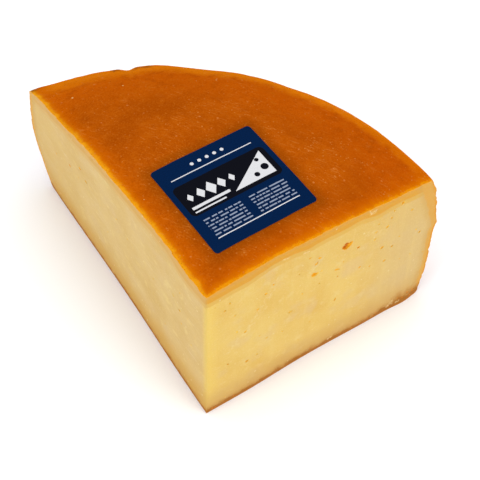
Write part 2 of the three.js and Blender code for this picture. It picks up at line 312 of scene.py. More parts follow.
def noise(places, size):
    """Smooth noise from -1 to 1 at places in space, in lumps of about this size."""
    places = np.asarray(places, float) / size
    cell = np.floor(places).astype(int)
    part = places - cell
    part = part * part * (3 - 2 * part)
    total = 0.0
    for corner in itertools.product((0, 1), repeat=3):
        x, y, z = np.moveaxis((cell + corner) % NOISE_CELLS, -1, 0)
        share = np.where(np.array(corner) == 1, part, 1 - part)
        total = total + share.prod(axis=-1) * NOISE_TABLE[x, y, z]
    return total


def layered(places, layers, start=0):
    """Noise in layers, each with its height and the size of its lumps."""
    return sum((height * noise(places, size) for height, size in layers), start)


def stacked(*values):
    """Numbers and arrays side by side, as the coordinates of places."""
    return np.stack(np.broadcast_arrays(*values), axis=-1)


def wave(share):
    return np.sin(2 * math.pi * share)


def mix(start, end, share):
    return start + (end - start) * share


def along_turn(values, turn):
    """A value at any turn, by the parabola through its three stated values."""
    short, half, long = values
    return (
        short * (1 - turn) * (1 - 2 * turn)
        + half * 4 * turn * (1 - turn)
        + long * turn * (2 * turn - 1)
    )


def apex_at(height):
    """Where the apex's edge is at a height, seen from above."""
    return APEX_LEAN * (1 - np.asarray(height, float)[..., None] / APEX_HEIGHT)


def short_angle(height):
    return SHORT_CUT_FOOT_ANGLE * (1 - height / APEX_HEIGHT)


def long_angle(height):
    return mix(LONG_CUT_FOOT_ANGLE, LONG_CUT_TOP_ANGLE, height / APEX_HEIGHT)


def angle_at(height, turn):
    return mix(short_angle(height), long_angle(height), turn)


def towards(angle):
    """The direction at an angle from +X, seen from above."""
    return stacked(np.cos(angle), np.sin(angle))


def rim_height(turn):
    return APEX_HEIGHT - along_turn(RIM_DROP, turn)


def wheel_radius(height, turn):
    """The wheel's radius: widest at the belly, less at the foot and at the top rim."""
    widest = mix(*BELLY_RADIUS, turn)
    belly = mix(*BELLY_HEIGHT, turn)
    above = np.maximum(0, (height - belly) / (rim_height(turn) - belly))
    below = np.maximum(0, (belly - height) / belly)
    swell = SIDE_SWELL["height"] * wave(SIDE_SWELL["turns"] * turn + height / SIDE_SWELL["rise"])
    start = RIM_BLISTER["above"]
    up = np.maximum(0, (height - start) / (rim_height(turn) - start))
    beside_blister = (turn - RIM_BLISTER["turn"]) / RIM_BLISTER["span"]
    beside_notch = (turn - RIM_NOTCH["turn"]) / RIM_NOTCH["span"]
    off_ridge = (height - SIDE_RIDGE["height"]) / SIDE_RIDGE["span"]
    return (
        widest
        - (widest - along_turn(TOP_RIM_RADIUS, turn)) * above ** mix(*ABOVE_BELLY_POWER, turn)
        - (widest - mix(*FOOT_RADIUS, turn)) * below ** mix(*BELOW_BELLY_POWER, turn)
        + swell * (1 - below)
        + RIM_BLISTER["height"] * np.exp(-(beside_blister**2)) * up**2
        - RIM_NOTCH["depth"] * np.exp(-(beside_notch**2)) * up**2
        + SIDE_RIDGE["out"] * np.exp(-(off_ridge**2) - turn / SIDE_RIDGE["fade"])
    )


def rim_reach(height, turn):
    """How far the wheel's side is from the apex."""
    away = apex_at(height) - WHEEL_CENTRE
    along = (away * towards(angle_at(height, turn))).sum(axis=-1)
    return -along + np.sqrt(along**2 - (away**2).sum(axis=-1) + wheel_radius(height, turn) ** 2)


def levelled(height):
    """The height of the dome once it levels out."""
    over = np.maximum(0, height - LEVEL["height"])
    return height - over + LEVEL["ease"] * np.tanh(over / LEVEL["ease"])


def top_height(share, turn):
    """The height of the top at a share of the way from the apex to the rim."""
    rise = along_turn(TOP_RISE, turn)
    drop = along_turn(RIM_DROP, turn)
    dome = APEX_HEIGHT + rise * share - (rise + drop) * share ** along_turn(DOME_POWER, turn)
    reach = share * rim_reach(rim_height(turn), turn)
    x, y = np.moveaxis(reach[..., None] * towards(angle_at(APEX_HEIGHT, turn)), -1, 0)
    swell = sum(
        height * wave(x / x_length + y / y_length + start)
        for height, x_length, y_length, start in TOP_SWELLS
    )
    from_cut = reach * (1 - turn) * LONG_CUT_TOP_ANGLE
    torn = np.exp(-(((reach - TORN_EDGE["reach"]) / TORN_EDGE["span"]) ** 2) - from_cut / TORN_EDGE["fade"])
    return levelled(dome + np.minimum(1, share / SWELL_FADE) * swell) - TORN_EDGE["drop"] * torn


def cut_bow(reach, height, turn):
    """How far a place on a cut face is bowed, counted towards the longer cut face."""
    total = 0.0
    for face, bow in enumerate(CUT_BOWS):
        inward = (turn == face) * (1.0 - 2.0 * face)
        depth = bow["depth"] * wave((reach - bow["start"]) / bow["length"] + height / bow["rise"])
        total = total + inward * depth * np.minimum(1, reach / bow["start"])
    off_flare = (reach - FOOT_FLARE["reach"]) / FOOT_FLARE["span"]
    flare = FOOT_FLARE["out"] * np.exp(-(off_flare**2) - (height / FOOT_FLARE["height"]) ** 2)
    return total - (turn == 0) * flare


def point_at(reach, height, turn):
    """The place in space."""
    reach, height, turn = np.broadcast_arrays(reach, height, turn)
    angle = angle_at(height, turn)
    bow = cut_bow(reach, height, turn)
    wear = APEX_WEAR["depth"] * np.clip(height / APEX_WEAR["above"], 0, 1)
    wear = wear * np.clip(1 - reach / APEX_WEAR["reach"], 0, 1) ** 2
    flat = apex_at(height) + reach[..., None] * towards(angle)
    flat = flat + bow[..., None] * towards(angle + math.pi / 2)
    flat = flat + wear[..., None] * towards(angle_at(height, 0.5))
    return np.concatenate([flat, height[..., None]], axis=-1)


def rounded(start, corner, end, share):
    """A rounded corner as a curve with its control point at the sharp corner."""
    return tuple(
        mix(mix(a, b, share), mix(b, c, share), share) for a, b, c in zip(start, corner, end)
    )


def shoulder_at(turn, share):
    """(reach, height) at a share of the way round the shoulder, from the top outwards."""
    top = rim_height(turn)
    reach = rim_reach(top, turn)
    start_share = 1 - SHOULDER_ROUND / reach
    start = (start_share * reach, top_height(start_share, turn))
    corner = (reach, top_height(np.ones_like(turn), turn))
    end = (rim_reach(top - SHOULDER_ROUND, turn), top - SHOULDER_ROUND)
    return rounded(start, corner, end, share)


def foot_at(turn, share):
    """(reach, height) at a share of the way round the foot, from the base outwards."""
    ground = np.zeros_like(turn)
    reach = rim_reach(ground, turn)
    up = ground + FOOT_ROUND
    return rounded((reach - FOOT_ROUND, ground), (reach, ground), (rim_reach(up, turn), up), share)


def lid_ring(step, turn):
    """(reach, height) along one ring of the top, out to halfway round the shoulder."""
    past = step - REACH_CELLS
    if past > 0:
        return shoulder_at(turn, 0.5 * past / ROUND_CELLS)
    reach = rim_reach(rim_height(turn), turn)
    share = step / REACH_CELLS * (1 - SHOULDER_ROUND / reach)
    return share * reach, top_height(share, turn)


def side_row(step, turn):
    """(reach, height) along one row of the side, between the halves of both rounds."""
    over = step - ROUND_CELLS - HEIGHT_CELLS
    if step < ROUND_CELLS:
        return foot_at(turn, 0.5 + 0.5 * step / ROUND_CELLS)
    if over > 0:
        return shoulder_at(turn, 1 - 0.5 * over / ROUND_CELLS)
    up = (step - ROUND_CELLS) / HEIGHT_CELLS
    height = mix(FOOT_ROUND, rim_height(turn) - SHOULDER_ROUND, up)
    return rim_reach(height, turn), height


def foot_ring(step, turn):
    """(reach, height) along one ring of the base, out to halfway round the foot."""
    past = step - REACH_CELLS
    if past > 0:
        return foot_at(turn, 0.5 * past / ROUND_CELLS)
    ground = np.zeros_like(turn)
    return step / REACH_CELLS * (rim_reach(ground, turn) - FOOT_ROUND), ground


def cut_gaps(reach, height, turn):
    """How far a place is from the shorter and from the longer cut face."""
    angle = angle_at(height, turn)
    return reach * np.sin(angle - short_angle(height)), reach * np.sin(long_angle(height) - angle)


def chip_at(reach, turn):
    """How badly the knife tore the rind's edge here."""
    place = stacked(reach, FACE_SHIFT["chips"] * turn, 0)
    torn = np.clip(layered(place, CHIP_LAYERS, CHIP_STRENGTH["mean"]), 0, CHIP_STRENGTH["most"])
    return torn * np.clip(reach / CHIP_STRENGTH["reach"], 0, 1)


def chip_move(reach, height, turn, gap):
    """The move of a place at this gap from the torn edge, in and down."""
    short = turn < 0.5
    strength = chip_at(reach, np.where(short, 0.0, 1.0)) * np.clip(1 - gap / CHIP_WIDTH, 0, 1)
    angle = angle_at(height, turn)
    inward = towards(angle + np.where(short, 0.5, -0.5) * math.pi)
    move = CHIP_IN * strength[..., None] * inward
    return np.concatenate([move, -CHIP_DOWN * strength[..., None]], axis=-1)


def crumble_at(height, turn):
    """How far the side crumbled away at a cut face, in millimetres."""
    place = stacked(height, 0, FACE_SHIFT["crumble"] * turn)
    lost = layered(place, CRUMBLE_LAYERS, CRUMBLE_STRENGTH["mean"])
    return CRUMBLE_IN * np.clip(lost, CRUMBLE_STRENGTH["least"], CRUMBLE_STRENGTH["most"])


def rind_relief(places):
    """Low bumps of the rind, so that no stretch of it is as smooth as plastic."""
    return layered(places, RIND_LAYERS)


def rim_lumps(places, height, turn):
    """Lumps of the top rim, which break up its outline."""
    near_rim = np.exp(-(((height - rim_height(turn)) / RIM_LUMPS["span"]) ** 2))
    size = RIM_LUMPS["height"] + RIM_LUMPS["growth"] * turn
    return near_rim * size * layered(places, RIM_LAYERS)


def rind_point(reach, height, turn):
    """A place on the rind: its relief stands up on the top and out on the side."""
    reach, height, turn = np.broadcast_arrays(reach, height, turn)
    base = point_at(reach, height, turn)
    lift = np.clip((height - rim_height(turn)) / SHOULDER_ROUND + 1, 0, 1)[..., None]
    out = np.concatenate([towards(angle_at(height, turn)), np.zeros_like(lift)], axis=-1)
    way = mix(out, np.array([0.0, 0.0, 1.0]), lift)
    relief = rind_relief(base) * np.clip(height / FOOT_ROUND, 0, 1) + rim_lumps(base, height, turn)
    gap = np.minimum(*cut_gaps(reach, height, turn))
    chips = chip_move(reach, height, turn, gap) * lift
    crumble = crumble_at(height, np.round(turn)) * np.clip(1 - gap / CRUMBLE_WIDTH, 0, 1)
    return base + relief[..., None] * way + chips - crumble[..., None] * out * (1 - lift)


def paste_relief(reach, height, turn):
    """Knife marks and low bumps of a cut face, counted inward."""
    drawn_out = stacked(reach / KNIFE_MARKS["stretch"], height, FACE_SHIFT["knife"] * turn)
    marks = KNIFE_MARKS["height"] * noise(drawn_out, KNIFE_MARKS["size"])
    return layered(stacked(reach, height, FACE_SHIFT["paste"] * turn), PASTE_LAYERS, marks)


def cut_face_points(turn):
    """A cut face's points, spread between the four sides of its outline, by row and ring."""
    ends = np.array([float(turn)])
    lid = np.array([lid_ring(i, ends) for i in range(RINGS + 1)])[..., 0]
    foot = np.array([foot_ring(i, ends) for i in range(RINGS + 1)])[..., 0]
    side = np.array([side_row(k, ends) for k in range(ROWS + 1)])[..., 0]
    up = (np.arange(ROWS + 1) / ROWS)[:, None, None]
    out = (np.arange(RINGS + 1) / RINGS)[None, :, None]
    straight = mix(foot[-1], lid[-1], up[:, 0])
    places = mix(foot[None], lid[None], up) + out * (side - straight)[:, None]
    reach, height = np.moveaxis(places, -1, 0)
    whole = np.full_like(reach, turn)
    points = point_at(reach, height, whole)
    under = lid[None, :, 1] - height
    inside = np.minimum(np.minimum(under, height), np.minimum(side[:, None, 0] - reach, reach))
    angle = angle_at(height, whole)
    inward = towards(angle + (0.5 if turn == 0 else -0.5) * math.pi)
    relief = paste_relief(reach, height, whole) * np.clip(inside / PASTE_FADE, 0, 1)
    points[..., :2] += relief[..., None] * inward
    near_side = np.clip(1 - (side[:, None, 0] - reach) / CRUMBLE_WIDTH, 0, 1)
    crumble = crumble_at(height, whole) * near_side * np.clip(under / SHOULDER_ROUND, 0, 1)
    points[..., :2] -= crumble[..., None] * towards(angle)
    return points + chip_move(reach, height, whole, under)


class Shell:
    """A closed surface while it is put together: points, and faces with a material each."""

    def __init__(self):
        self.points = []
        self.count = 0
        self.faces = []
        self.kinds = []

    def add_points(self, points):
        points = np.asarray(points, float)
        flat = points.reshape(-1, 3)
        self.points.append(flat)
        index = np.arange(self.count, self.count + len(flat)).reshape(points.shape[:-1])
        self.count += len(flat)
        return index

    def add_faces(self, faces, kind):
        faces = np.asarray(faces, int)
        self.faces.append(faces)
        self.kinds.append(np.full(len(faces), kind))

    def add_grid(self, index, kind, flipped=False):
        a, b = index[:-1, :-1].ravel(), index[:-1, 1:].ravel()
        c, d = index[1:, 1:].ravel(), index[1:, :-1].ravel()
        triangles = np.concatenate([np.stack([a, b, c], 1), np.stack([a, c, d], 1)])
        self.add_faces(triangles[:, ::-1] if flipped else triangles, kind)

    def add_strip(self, inner, outer, kind, flipped=False):
        """Joins two rings that run through the same turns with any number of points."""
        faces = []
        i = j = 0
        inner_end, outer_end = len(inner) - 1, len(outer) - 1
        while i < inner_end or j < outer_end:
            inner_next = (i + 1) / inner_end if i < inner_end else 2
            outer_next = (j + 1) / outer_end if j < outer_end else 2
            if outer_next <= inner_next:
                faces.append((inner[i], outer[j], outer[j + 1]))
                j += 1
            else:
                faces.append((inner[i], outer[j], inner[i + 1]))
                i += 1
        self.add_faces(np.array(faces)[:, ::-1] if flipped else faces, kind)

    def to_mesh(self, name):
        used, faces = np.unique(np.concatenate(self.faces), return_inverse=True)
        faces = faces.reshape(-1, 3)
        points = (np.concatenate(self.points)[used] + APEX_PLACE) * MM
        mesh = bpy.data.meshes.new(name)
        mesh.from_pydata(points.tolist(), [], faces.tolist())
        mesh.polygons.foreach_set("material_index", np.concatenate(self.kinds).astype(np.int32))
        mesh.update()
        return mesh


def cheese_shell():
    """The whole surface of the piece: top, side, foot, both cut faces and the base."""
    shell = Shell()
    lid = []
    for i in range(RINGS + 1):
        turns = np.linspace(0, 1, round(TURN_CELLS * min(1, i / REACH_CELLS)) + 1)
        lid.append(shell.add_points(rind_point(*lid_ring(i, turns), turns)))
    for inner, outer in zip(lid, lid[1:]):
        shell.add_strip(inner, outer, RIND)

    turns = np.linspace(0, 1, TURN_CELLS + 1)
    side = [shell.add_points(rind_point(*side_row(k, turns), turns)) for k in range(ROWS)]
    side.append(lid[-1])
    shell.add_grid(np.array(side), RIND)
    foot = [
        shell.add_points(rind_point(*foot_ring(REACH_CELLS + k, turns), turns))
        for k in range(ROUND_CELLS)
    ]
    foot.append(side[0])
    shell.add_grid(np.array(foot), RIND)

    base = []
    for i in range(REACH_CELLS):
        turns = np.linspace(0, 1, min(i, BASE_CELLS) + 1)
        base.append(shell.add_points(point_at(*foot_ring(i, turns), turns)))
    base.append(foot[0])
    for inner, outer in zip(base, base[1:]):
        shell.add_strip(inner, outer, BASE, flipped=True)

    columns = []
    for turn, end in ((0, 0), (1, -1)):
        points = cut_face_points(turn)
        index = np.zeros(points.shape[:2], int)
        index[:-1, :-1] = shell.add_points(points[:-1, :-1])
        index[-1] = [ring[end] for ring in lid]
        index[:, -1] = [row[end] for row in side]
        index[0] = [ring[end] for ring in base[:-1] + foot]
        if turn == 1:
            index[:, 0] = columns[0][:, 0]
        shell.add_grid(index, PASTE, flipped=turn == 1)
        columns.append(index)
    return shell


def eye_cutter_points(eye, turn, sphere):
    """A lumpy flattened ball on a cut face, which leaves one eye when it is cut out."""
    reach, height, length, width, tilt = eye
    here = point_at(*np.array([reach, height, float(turn)]))
    along = point_at(*np.array([reach + 1, height, float(turn)])) - here
    along /= np.linalg.norm(along)
    up = point_at(*np.array([reach, height + 1, float(turn)])) - here
    out = np.cross(along, up)
    out /= np.linalg.norm(out)
    up = np.cross(out, along)
    around = sphere + [reach, height, FACE_SHIFT["eyes"] * turn]
    lumps = 1 + EYE_LUMPS * layered(around, EYE_LAYERS)
    depth = min(EYE_DEPTH * width, DEEPEST_EYE)
    ball = sphere * lumps[:, None] * [length / 2, width / 2, depth]
    ball[:, 1:] *= 1 - EYE_TAPER * sphere[:, :1]
    turned = ball @ np.array(Matrix.Rotation(math.radians(tilt), 3, "Z")).T
    return here + turned @ np.array([along, up, out])


def eye_cutters():
    """All the eyes as one mesh of separate closed balls."""
    bpy.ops.mesh.primitive_ico_sphere_add(subdivisions=3, radius=1)
    ball = bpy.context.object
    sphere = np.array([v.co for v in ball.data.vertices])
    triangles = np.array([p.vertices[:] for p in ball.data.polygons])
    bpy.data.objects.remove(ball)
    shell = Shell()
    for eyes, turn in ((SHORT_CUT_EYES, 0), (LONG_CUT_EYES, 1)):
        for eye in eyes:
            index = shell.add_points(eye_cutter_points(eye, turn, sphere))
            shell.add_faces(index[triangles], EYE)
    return shell.to_mesh("eye_cutters")


def linked(name, mesh):
    piece = bpy.data.objects.new(name, mesh)
    bpy.context.scene.collection.objects.link(piece)
    return piece


def apply_modifiers(piece):
    bpy.context.view_layer.update()
    shown = piece.evaluated_get(bpy.context.evaluated_depsgraph_get())
    piece.data = bpy.data.meshes.new_from_object(shown)
    piece.modifiers.clear()


def cut_eyes(cheese):
    cutters = linked("eye_cutters", eye_cutters())
    cut = cheese.modifiers.new("eyes", "BOOLEAN")
    cut.operation = "DIFFERENCE"
    cut.solver = "MANIFOLD"
    cut.object = cutters
    apply_modifiers(cheese)
    bpy.data.objects.remove(cutters)


def write_values(mesh, name, values):
    vector = values.ndim == 2
    attribute = mesh.attributes.new(name, "FLOAT_VECTOR" if vector else "FLOAT", "POINT")
    attribute.data.foreach_set("vector" if vector else "value", values.astype(np.float32).ravel())


def vertex_places(mesh):
    flat = np.empty(len(mesh.vertices) * 3)
    mesh.vertices.foreach_get("co", flat)
    return flat.reshape(-1, 3) / MM - APEX_PLACE


def label_gap(x, y):
    """How far a place lies outside the sticker, seen from above."""
    turned = towards(np.array(-LABEL_TURN))
    away = stacked(x, y) - LABEL_CENTRE
    across = np.abs(away @ np.array([turned[0], -turned[1]]))
    along = np.abs(away @ np.array([turned[1], turned[0]]))
    half = LABEL_SIDE / 2
    return np.hypot(np.maximum(across - half, 0), np.maximum(along - half, 0))


def measure_zones(mesh):
    """Stores what the materials need to know of each vertex, with lengths in millimetres."""
    places = vertex_places(mesh)
    height = np.clip(places[:, 2], 0, None)
    away = places[:, :2] - apex_at(height)
    reach = np.hypot(away[:, 0], away[:, 1])
    short, long = short_angle(height), long_angle(height)
    turn = np.clip((np.arctan2(away[:, 1], away[:, 0]) - short) / (long - short), 0, 1)
    share = np.clip(reach / rim_reach(rim_height(turn), turn), 0, 1)
    short_gap, long_gap = cut_gaps(reach, height, turn)
    short_gap = short_gap - cut_bow(reach, height, np.zeros_like(turn))
    long_gap = long_gap + cut_bow(reach, height, np.ones_like(turn))
    cut_gap = np.minimum(short_gap, long_gap)
    zones = {
        "place": places,
        "face_place": stacked(reach, height, FACE_SHIFT["colours"] * np.round(turn)),
        "turn": turn,
        "cut_gap": cut_gap,
        "edge_gap": cut_gap - CHIP_IN * chip_at(reach, np.round(turn)),
        "under_top": top_height(share, turn) - height,
        "rim_gap": rim_reach(rim_height(turn), turn) - reach,
        "side_gap": rim_reach(height, turn) - reach,
        "foot_gap": height,
        "label_gap": label_gap(places[:, 0], places[:, 1]),
    }
    for name, values in zones.items():
        write_values(mesh, name, values)


def linear(red, green, blue):
    """A colour given as on a screen, 0 to 255, as the light values that Blender uses."""
    shares = [value / 255 for value in (red, green, blue)]
    return tuple(s / 12.92 if s <= 0.04045 else ((s + 0.055) / 1.055) ** 2.4 for s in shares) + (1.0,)


class Material:
    """A short way to write a material's nodes and to lay its colours over each other."""

    def __init__(self, name, specular, place=None):
        self.material = bpy.data.materials.new(name)
        self.material.use_nodes = True
        self.tree = self.material.node_tree
        self.tree.nodes.clear()
        self.shader = self.node("BsdfPrincipled")
        self.node("OutputMaterial", self.shader.outputs[0])
        self.set("Specular IOR Level", specular)
        if place:
            self.place = self.stored(place, "Vector")

    def feed(self, socket, value):
        if isinstance(value, bpy.types.NodeSocket):
            self.tree.links.new(value, socket)
        else:
            socket.default_value = value

    def node(self, kind, *values, named=(), **settings):
        """A new node, with values for its first inputs and for those given by name."""
        node = self.tree.nodes.new("ShaderNode" + kind)
        for name, setting in settings.items():
            setattr(node, name, setting)
        for socket, value in zip(node.inputs, values):
            self.feed(socket, value)
        for name, value in dict(named).items():
            self.feed(node.inputs[name], value)
        return node

    def set(self, name, value):
        self.feed(self.shader.inputs[name], value)

    def start(self, colour):
        self.colour = colour

    def coat(self, share, colour):
        """Lays a colour over those before it: the share is how well it covers them."""
        self.colour = self.mix(share, self.colour, colour)

    def fade(self, value, start, full, share, colour):
        """Lays a colour on as the value goes from the start to where the coat is full."""
        self.coat(self.ramp(value, start, full, 0, share), colour)

    def done(self, roughness):
        self.set("Base Color", self.colour)
        self.set("Roughness", roughness)
        return self.material

    def stored(self, name, output="Fac"):
        return self.node("Attribute", attribute_name=name).outputs[output]

    @property
    def turn(self):
        """0 on the shorter cut face and 1 on the longer one."""
        return self.stored("turn")

    @property
    def short_side(self):
        return self.less(1, self.turn)

    def math(self, operation, *values):
        return self.node("Math", *values, operation=operation).outputs[0]

    def chain(self, operation, first, *others):
        for other in others:
            first = self.math(operation, first, other)
        return first

    def most(self, *values):
        return self.chain("MAXIMUM", *values)

    def plus(self, *values):
        return self.chain("ADD", *values)

    def times(self, *values):
        return self.chain("MULTIPLY", *values)

    def less(self, value, taken):
        return self.math("SUBTRACT", value, taken)

    def scaled(self, value, factor, offset):
        return self.math("MULTIPLY_ADD", value, factor, offset)

    def apart(self, value, other):
        return self.math("ABSOLUTE", self.less(value, other))

    def vector(self, operation, *values):
        number = operation in ("LENGTH", "DISTANCE", "DOT_PRODUCT")
        node = self.node("VectorMath", *values, operation=operation)
        return node.outputs["Value" if number else "Vector"]

    def shrunk(self, place, size):
        """The place given, or the material's own, in lumps of this size."""
        sizes = size if isinstance(size, tuple) else (size,) * 3
        return self.vector("DIVIDE", place or self.place, sizes)

    def noise(self, size, detail=2, roughness=0.5, place=None):
        """Noise from about 0.25 to 0.75, in lumps of this size, or sizes along each axis."""
        place = self.shrunk(place, size)
        named = {"Scale": 1, "Detail": detail, "Roughness": roughness}
        return self.node("TexNoise", place, named=named).outputs[0]

    def join(self, x, y):
        return self.node("CombineXYZ", x, y).outputs[0]

    def segment_gap(self, start, end):
        """How far the place is from a straight line between two points, seen along Z."""
        way = Vector(end) - Vector(start)
        flat = self.vector("MULTIPLY", self.place, (1, 1, 0))
        from_start = self.vector("SUBTRACT", flat, (*start, 0))
        along = self.vector("DOT_PRODUCT", from_start, (*way, 0))
        share = self.node("Clamp", self.math("DIVIDE", along, way.length_squared)).outputs[0]
        nearest = self.node("VectorMath", (*way, 0), named={"Scale": share}, operation="SCALE")
        return self.vector("LENGTH", self.vector("SUBTRACT", from_start, nearest.outputs[0]))

    def near_lines(self, lines, core):
        """1 on straight lines, each full within this share of half its width, 0 beyond it."""
        near = 0
        for start, end, half in lines:
            line = self.ramp(self.segment_gap(start, end), half, core * half)
            near = self.math("MAXIMUM", line, near)
        return near

    def specks(self, size, radius, place=None):
        """1 in scattered dots, one for each cell of this size, 0 between them."""
        cells = self.node("TexVoronoi", self.shrunk(place, size), named={"Scale": 1}).outputs
        chance = self.node("SeparateColor", cells["Color"]).outputs[0]
        room = self.times(self.math("POWER", chance, 3), radius / size)
        return self.math("LESS_THAN", cells["Distance"], room)

    def ramp(self, value, start, end, low=0, high=1):
        """Goes smoothly from low to high as the value goes from start to end."""
        values = (value, start, end, low, high)
        return self.node("MapRange", *values, interpolation_type="SMOOTHSTEP").outputs[0]

    def mix(self, share, first, second):
        """Mixes two colours, each given as on a screen or as a socket."""
        node = self.node("Mix", share, data_type="RGBA")
        colours = [socket for socket in node.inputs if socket.type == "RGBA"]
        for socket, colour in zip(colours, (first, second)):
            self.feed(socket, linear(*colour) if isinstance(colour, tuple) else colour)
        return [socket for socket in node.outputs if socket.type == "RGBA"][0]

    def mix_value(self, share, first, second):
        return self.scaled(share, second - first, first)

    def bump(self, height, distance):
        """Bumps of this height in millimetres, on top of those set before."""
        node = self.node("Bump", named={"Distance": distance * MM, "Height": height})
        before = self.shader.inputs["Normal"].links
        if before:
            self.feed(node.inputs["Normal"], before[0].from_socket)
        self.set("Normal", node.outputs[0])


def rind_material():
    """Waxy burnt-orange rind: brighter to its edges, mottled, with specks and scratches, and a painted
    shadow round the sticker.
    """
    m = Material("rind", specular=0, place="place")
    broad = m.noise(RIND_LUMPS["broad"], detail=3)
    mottle = m.noise(RIND_LUMPS["mottle"], detail=4, roughness=0.6)
    grain = m.noise(RIND_LUMPS["grain"], detail=4, roughness=0.7)
    wander = m.scaled(mottle, 8, -4)

    m.start(m.mix(m.ramp(broad, 0.35, 0.65), (158, 69, 2), (171, 78, 4)))
    towards_rim = m.mix(m.turn, (176, 75, 2), (190, 86, 3))
    m.fade(m.stored("rim_gap"), 50, 14, 0.8, towards_rim)
    m.fade(mottle, 0.47, 0.7, 0.4, (150, 62, 1))
    m.fade(mottle, 0.47, 0.25, 0.6, (176, 86, 8))
    rind_shoulder(m, wander)
    rind_cut_edge(m, mottle, grain, wander)
    rind_side(m, broad)
    # Painted shadow: the rind darkens over the last 8 mm towards the sticker's edge.
    m.fade(m.plus(m.stored("label_gap"), wander), 8, 0, 0.5, (118, 54, 2))
    rind_wear(m, broad, mottle, grain)
    m.coat(rim_marks(m, mottle, grain), (112, 60, 22))

    m.bump(grain, 0.1)
    m.bump(mottle, 0.3)
    return m.done(roughness=m.ramp(mottle, 0.3, 0.7, 0.44, 0.6))


def rind_shoulder(m, wander):
    """The brighter band along the rim of the top, wider towards the longer cut face, and painted light on
    the shoulder's rounded lip.
    """
    rim_gap = m.stored("rim_gap")
    under_top = m.stored("under_top")
    width = m.scaled(m.times(m.turn, m.turn), 11, 9)
    band = m.ramp(m.plus(rim_gap, wander), width, 3, 0, 0.9)
    tint = m.mix(m.ramp(m.turn, 0.1, 0.4), (194, 97, 1), (208, 113, 7))
    m.coat(m.times(band, m.ramp(under_top, 34, 8)), tint)
    # Painted light: the shoulder and the top of the side are lighter, to offset the shade where they turn
    # away.
    rim = m.times(m.ramp(rim_gap, 2.5, 0, 0, 0.8), m.ramp(under_top, 14, 3))
    m.coat(rim, (214, 122, 12))
    crease = m.ramp(m.apart(rim_gap, 14), 1.4, 0.3, 0, 0.3)
    m.coat(m.times(crease, m.ramp(m.turn, 0.83, 0.9)), (160, 66, 1))


def rind_cut_edge(m, mottle, grain, wander):
    """Brighter rind along both cuts, with a ragged yellow fringe that sparkles."""
    edge_gap = m.stored("edge_gap")
    m.fade(m.plus(edge_gap, wander), 13, 3, 0.75, (184, 84, 0))
    ragged = m.scaled(grain, 4.6, m.scaled(mottle, 3, -3.8))
    near_cut = m.plus(edge_gap, ragged)
    m.fade(near_cut, 5.5, 1, 0.8, (200, 105, 0))
    fringe = m.ramp(near_cut, m.scaled(m.turn, 1.2, 1.7), 0.3, 0, 0.9)
    m.coat(fringe, m.mix(m.turn, (213, 133, 4), (221, 148, 16)))
    m.coat(m.times(fringe, m.ramp(grain, 0.52, 0.66, 0, 0.7)), (232, 170, 44))


def rind_side(m, broad):
    """The paler side, with faint lines that a cloth left."""
    low = m.ramp(m.stored("under_top"), 12, 60)
    m.coat(m.times(low, 0.6), m.mix(broad, (166, 78, 4), (186, 98, 14)))
    cloth = m.ramp(m.noise(CLOTH_LINES, detail=3), 0.5, 0.68, 0, 0.35)
    m.coat(m.times(cloth, low), (148, 66, 4))


def rind_wear(m, broad, mottle, grain):
    """Light and dark grain, scratches, and specks of three sizes."""
    m.coat(m.ramp(grain, 0.51, 0.68, 0, m.mix_value(m.turn, 0.25, 0.45)), (188, 106, 28))
    m.coat(m.ramp(grain, 0.47, 0.32, 0, m.mix_value(m.turn, 0.3, 0.5)), (136, 55, 0))
    scratched = m.times(rind_scratches(m, mottle), m.ramp(broad, 0.42, 0.6, 0.12, 0.42))
    m.coat(scratched, (200, 122, 50))
    worn = m.ramp(broad, 0.42, 0.6, 0.3, 0.65)
    for size, radius, share, shade in (
        (1.6, 0.5, worn, (194, 118, 50)),
        (3.6, 0.7, worn, (198, 120, 58)),
        (9, 0.8, 0.8, (214, 170, 104)),
    ):
        m.coat(m.times(m.specks(size, radius), share), shade)


def rind_scratches(m, mottle):
    """Fine scratches that run across the rind, most of them one way."""
    along, across = [
        m.vector("DOT_PRODUCT", m.place, (*towards(math.radians(angle)), 0))
        for angle in (SCRATCH_ANGLE, SCRATCH_ANGLE + 90)
    ]
    bent = m.join(along, m.scaled(mottle, 5, across))
    return m.ramp(m.noise(SCRATCH_SIZE, detail=1, place=bent), 0.6, 0.7)


def rim_marks(m, mottle, grain):
    """Dark brown marks on the far rim, in patches."""
    aside = [m.math("DIVIDE", m.apart(m.turn, middle), half) for middle, half in RIM_MARKS]
    near_mark = m.ramp(m.chain("MINIMUM", *aside), 1.4, 0.2)
    at_rim = m.ramp(m.apart(m.stored("rim_gap"), 1.8), 3, 1.2)
    patchy = m.times(m.ramp(grain, 0.38, 0.55, 0.3, 0.8), m.ramp(mottle, 0.38, 0.52, 0.2, 1))
    return m.times(near_mark, at_rim, patchy)


def reach_on(m):
    """How far a place on a cut face is from the apex."""
    return m.vector("DOT_PRODUCT", m.place, (1, 0, 0))


